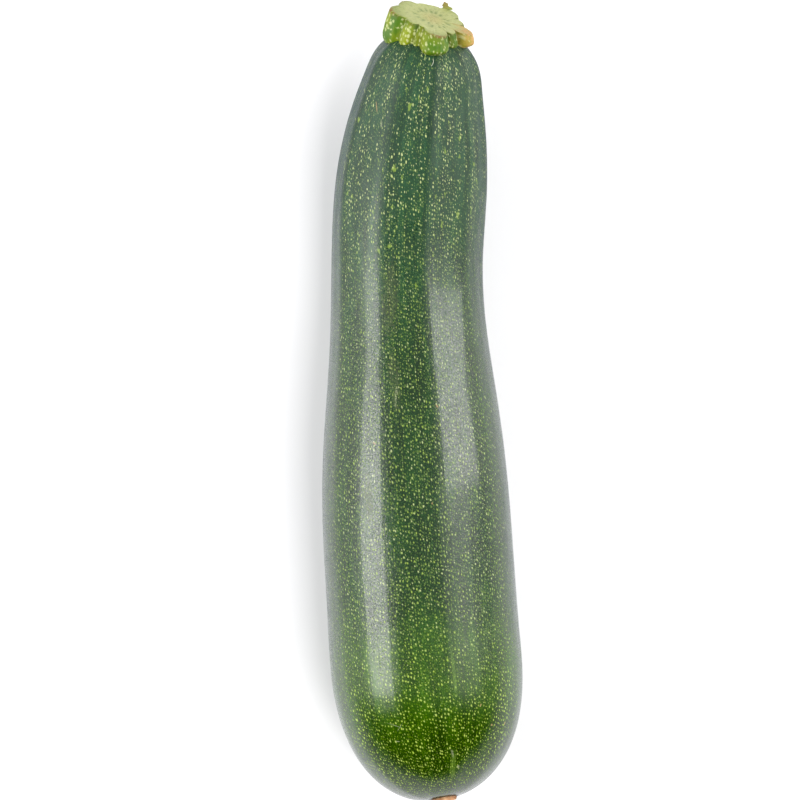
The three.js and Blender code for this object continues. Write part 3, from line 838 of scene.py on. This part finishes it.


# A juicy green wall with large pale flecks and painted shade in the grooves between its lobes, a
# pale cut with a ring of darker dashes, and brown where the rim has dried.
def stemMaterial():
    k = stemLook
    material, tree, shader = newMaterial("cutStem", Roughness=k["roughness"], IOR=k["refraction"])
    place = attribute(tree, "place", "Vector")
    flat = unrolled(tree, place, k["patternRadius"])
    onCut = attribute(tree, "onCut")
    fromAxis = attribute(tree, "fromAxis")
    cloud = noise(tree, stretched(tree, place, (1, 1, 0.5)), 0.34, 3.0)
    fibres = noise(tree, place, 1.1, 4.0, 0.65)
    wall = blend(tree, ramp(tree, cloud, 0.38, 0.62), tint(*k["groove"]), tint(*k["wall"]))
    wall = blend(tree, times(tree, attribute(tree, "greener"), 0.6), wall, tint(*k["green"]))
    # Painted shade in the grooves between the lobes.
    wall = blend(tree, times(tree, attribute(tree, "paintedGrooveShade"), 0.8), wall, tint(*k["paintedGrooveShade"]))
    spots = flecks(tree, flat, Cell=0.72, Stretch=1.6, Smallest=0.14, Largest=0.44,
                   Softness=0.14, Ragged=0.5, Amount=0.85)["Mask"]
    wall = blend(tree, times(tree, spots, 0.8), wall, tint(*k["fleck"]))
    wall = blend(tree, times(tree, attribute(tree, "rimLine"), ramp(tree, fibres, 0.4, 0.6),
                             clamp=True), wall, tint(*k["rim"]))
    cut = blend(tree, ramp(tree, fromAxis, 0.1, 0.45), tint(*k["cutMiddle"]), tint(*k["cut"]))
    cut = blend(tree, ramp(tree, fromAxis, 0.7, 1.15, 0.0, 0.85), cut, tint(*k["cutEdge"]))
    cut = blend(tree, ramp(tree, fibres, 0.42, 0.75, 0.0, 0.45), cut, tint(*k["bundle"]))
    cut = blend(tree, times(tree, attribute(tree, "bundle"), 0.85, clamp=True), cut,
                tint(*k["bundle"]))
    colour = blend(tree, onCut, wall, cut)
    patchy = ramp(tree, noise(tree, place, 1.6, 3.0), 0.35, 0.6)
    colour = blend(tree, times(tree, attribute(tree, "tan"), ramp(tree, patchy, 0, 1, 0.45, 0.95)),
                   colour, tint(*k["tan"]))
    colour = blend(tree, times(tree, attribute(tree, "dry"), patchy, clamp=True),
                   colour, tint(*k["dry"]))
    tree.links.new(colour, shader.inputs["Base Color"])
    height = calculate(tree, "MULTIPLY_ADD", spots, 0.4, times(tree, fibres, 0.9))
    bumped(tree, shader, height, k["bump"], 0.0003)
    return material


cork = {"light": (236, 196, 152), "brown": (210, 142, 92), "dark": (112, 74, 42),
        "roughness": 0.85, "bump": 0.8}


# Dry cork: clouds of two browns, darker in its pits and at its rim.
def scarMaterial():
    k = cork
    material, tree, shader = newMaterial("corkyScar", Roughness=k["roughness"])
    place = attribute(tree, "place", "Vector")
    cloud = noise(tree, place, 0.9, 5.0, 0.65)
    pits = noise(tree, place, 2.6, 3.0, 0.6)
    colour = blend(tree, ramp(tree, cloud, 0.35, 0.65), tint(*k["brown"]), tint(*k["light"]))
    colour = blend(tree, ramp(tree, pits, 0.5, 0.35, 0.0, 0.7), colour, tint(*k["dark"]))
    colour = blend(tree, ramp(tree, attribute(tree, "rim"), 0.82, 1.0, 0.0, 0.75), colour,
                   tint(*k["dark"]))
    tree.links.new(colour, shader.inputs["Base Color"])
    height = calculate(tree, "ADD", cloud, times(tree, pits, 0.5))
    bumped(tree, shader, height, k["bump"], 0.0004)
    return material


smallLook = {
    "hairRoot": (190, 196, 160), "hairTip": (214, 214, 200), "hairRoughness": 0.5,
    "flakeRoot": (128, 140, 60), "flakeTip": (120, 92, 44), "flakeRoughness": 0.6,
}


# One colour at the root and another at the tip, mixed by the share of the length and a noise.
def smallMaterial(name, root, tip, roughness):
    material, tree, shader = newMaterial(name, Roughness=roughness)
    place = addNode(tree, "ShaderNodeTexCoord").outputs["Object"]
    cloud = noise(tree, place, 1400.0, 3.0)
    along = calculate(tree, "ADD", attribute(tree, "share"),
                      calculate(tree, "MULTIPLY_ADD", cloud, 0.8, -0.4), clamp=True)
    tree.links.new(blend(tree, along, tint(*root), tint(*tip)), shader.inputs["Base Color"])
    bumped(tree, shader, cloud, 0.4, 0.0001)
    return material


def hairMaterial():
    k = smallLook
    return smallMaterial("whiteHair", k["hairRoot"], k["hairTip"], k["hairRoughness"])


def flakeMaterial():
    k = smallLook
    return smallMaterial("driedFlake", k["flakeRoot"], k["flakeTip"], k["flakeRoughness"])


for makePiece, makeMaterial, nodes, slot in (
        (fruitPiece, skinMaterial, ["fruit"], "skin"),
        (stemPiece, stemMaterial, ["stem"], "stem"),
        (scarPiece, scarMaterial, ["blossom_scar"], "scar"),
        (hairPiece, hairMaterial, [], "stem"),
        (flakePiece, flakeMaterial, [], "stem")):
    piece = makePiece()
    piece.data.materials.append(makeMaterial())
    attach(piece, "root")
    if nodes:
        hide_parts(*nodes)
print("courgette: pieces and materials made")


studio = {
    "floor": (233, 233, 233), "floorSize": 6.0,
    "cameraHeight": 0.9, "cameraPlace": (-5.56, 0.62), "viewWidth": 200, "viewHeight": 22,
    "airColour": (0.93, 0.95, 1.0), "air": 0.6, "leftWall": 0.45,
    # along a heading of length 1: +X where the wall's light begins and is full, +Y up to which
    # the air is unlit and from which it is lit
    "wallBegins": -0.8, "wallFull": -0.97, "unlitTo": -0.32, "litFrom": -0.22,
    "boxDistance": 1.2, "boxColour": (1.0, 0.985, 1.0),
}

# Soft boxes: degrees off the vertical towards +X on both edges, degrees towards +Y on both
# ends, and brightness.
softBoxes = {
    "leftBox": (-72, -43, -19, 21, 9.8),
    "rightBox": (41, 81, 8, 29, 8.8),
    "rightReflector": (22, 66, -14, 8, 1.8),
    "keyLight": (6, 28, -36, -8, 10.9),
}


def floorPiece():
    half = studio["floorSize"] / 2
    mesh = bpy.data.meshes.new("floor")
    mesh.from_pydata([(-half, -half, 0), (half, -half, 0), (half, half, 0), (-half, half, 0)], [],
                     [(0, 1, 2, 3)])
    floor = bpy.data.objects.new("floor", mesh)
    bpy.context.scene.collection.objects.link(floor)
    material, tree, shader = newMaterial("paleFloor", Roughness=0.9)
    shader.inputs["Base Color"].default_value = tint(*studio["floor"])
    shader.inputs["Specular IOR Level"].default_value = 0.0
    mesh.materials.append(material)


# A soft box facing the courgette, as large as its angles ask for at its distance.
def softBox(name, fromLean, toLean, fromAlong, toAlong, brightness):
    distance = studio["boxDistance"]
    lean = np.radians((fromLean + toLean) / 2)
    ends = distance * np.tan(np.radians([fromAlong, toAlong]))
    lamp = bpy.data.lights.new(name, "AREA")
    lamp.shape = "RECTANGLE"
    lamp.size = float(2 * distance * np.tan(np.radians(toLean - fromLean) / 2))
    lamp.size_y = float(ends[1] - ends[0])
    lamp.energy = brightness * np.pi * lamp.size * lamp.size_y
    lamp.color = studio["boxColour"]
    box = bpy.data.objects.new(name, lamp)
    box.location = (distance * np.sin(lean), float(ends.mean()), distance * np.cos(lean))
    box.rotation_euler = (0, lean, 0)
    box.visible_glossy = name != "keyLight"  # it lights the courgette but isn't mirrored in it
    bpy.context.scene.collection.objects.link(box)


# The air round it: pale, brighter by the left wall, unlit beyond the blossom end, and nearly
# white where the camera sees it.
def studioAir():
    s = studio
    world = bpy.data.worlds.new("studioAir")
    bpy.context.scene.world = world
    world.use_nodes = True
    tree = world.node_tree
    heading = addNode(tree, "ShaderNodeSeparateXYZ", {
        0: addNode(tree, "ShaderNodeTexCoord").outputs["Generated"]})
    bright = ramp(tree, heading.outputs[0], s["wallBegins"], s["wallFull"], s["air"],
                  s["air"] + s["leftWall"])
    strength = ramp(tree, heading.outputs[1], s["unlitTo"], s["litFrom"], 0.0, bright)
    seen = addNode(tree, "ShaderNodeLightPath").outputs["Is Camera Ray"]
    strength = calculate(tree, "MAXIMUM", strength, seen)
    background = tree.nodes["Background"]
    background.inputs["Color"].default_value = (*s["airColour"], 1)
    tree.links.new(strength, background.inputs["Strength"])


floorPiece()
for name, angles in softBoxes.items():
    softBox(name, *angles)
studioAir()

lens = bpy.data.cameras.new("camera")
lens.sensor_width = 36
lens.lens = 36 * (studio["cameraHeight"] - studio["viewHeight"] * mm) / (studio["viewWidth"] * mm)
lens.clip_start, lens.clip_end = 0.01, 20
camera = bpy.data.objects.new("camera", lens)
camera.location = (studio["cameraPlace"][0] * mm, studio["cameraPlace"][1] * mm,
                   studio["cameraHeight"])
bpy.context.scene.collection.objects.link(camera)
bpy.context.scene.camera = camera
bpy.context.scene.view_settings.view_transform = "Standard"
print("courgette: floor, light and camera set")
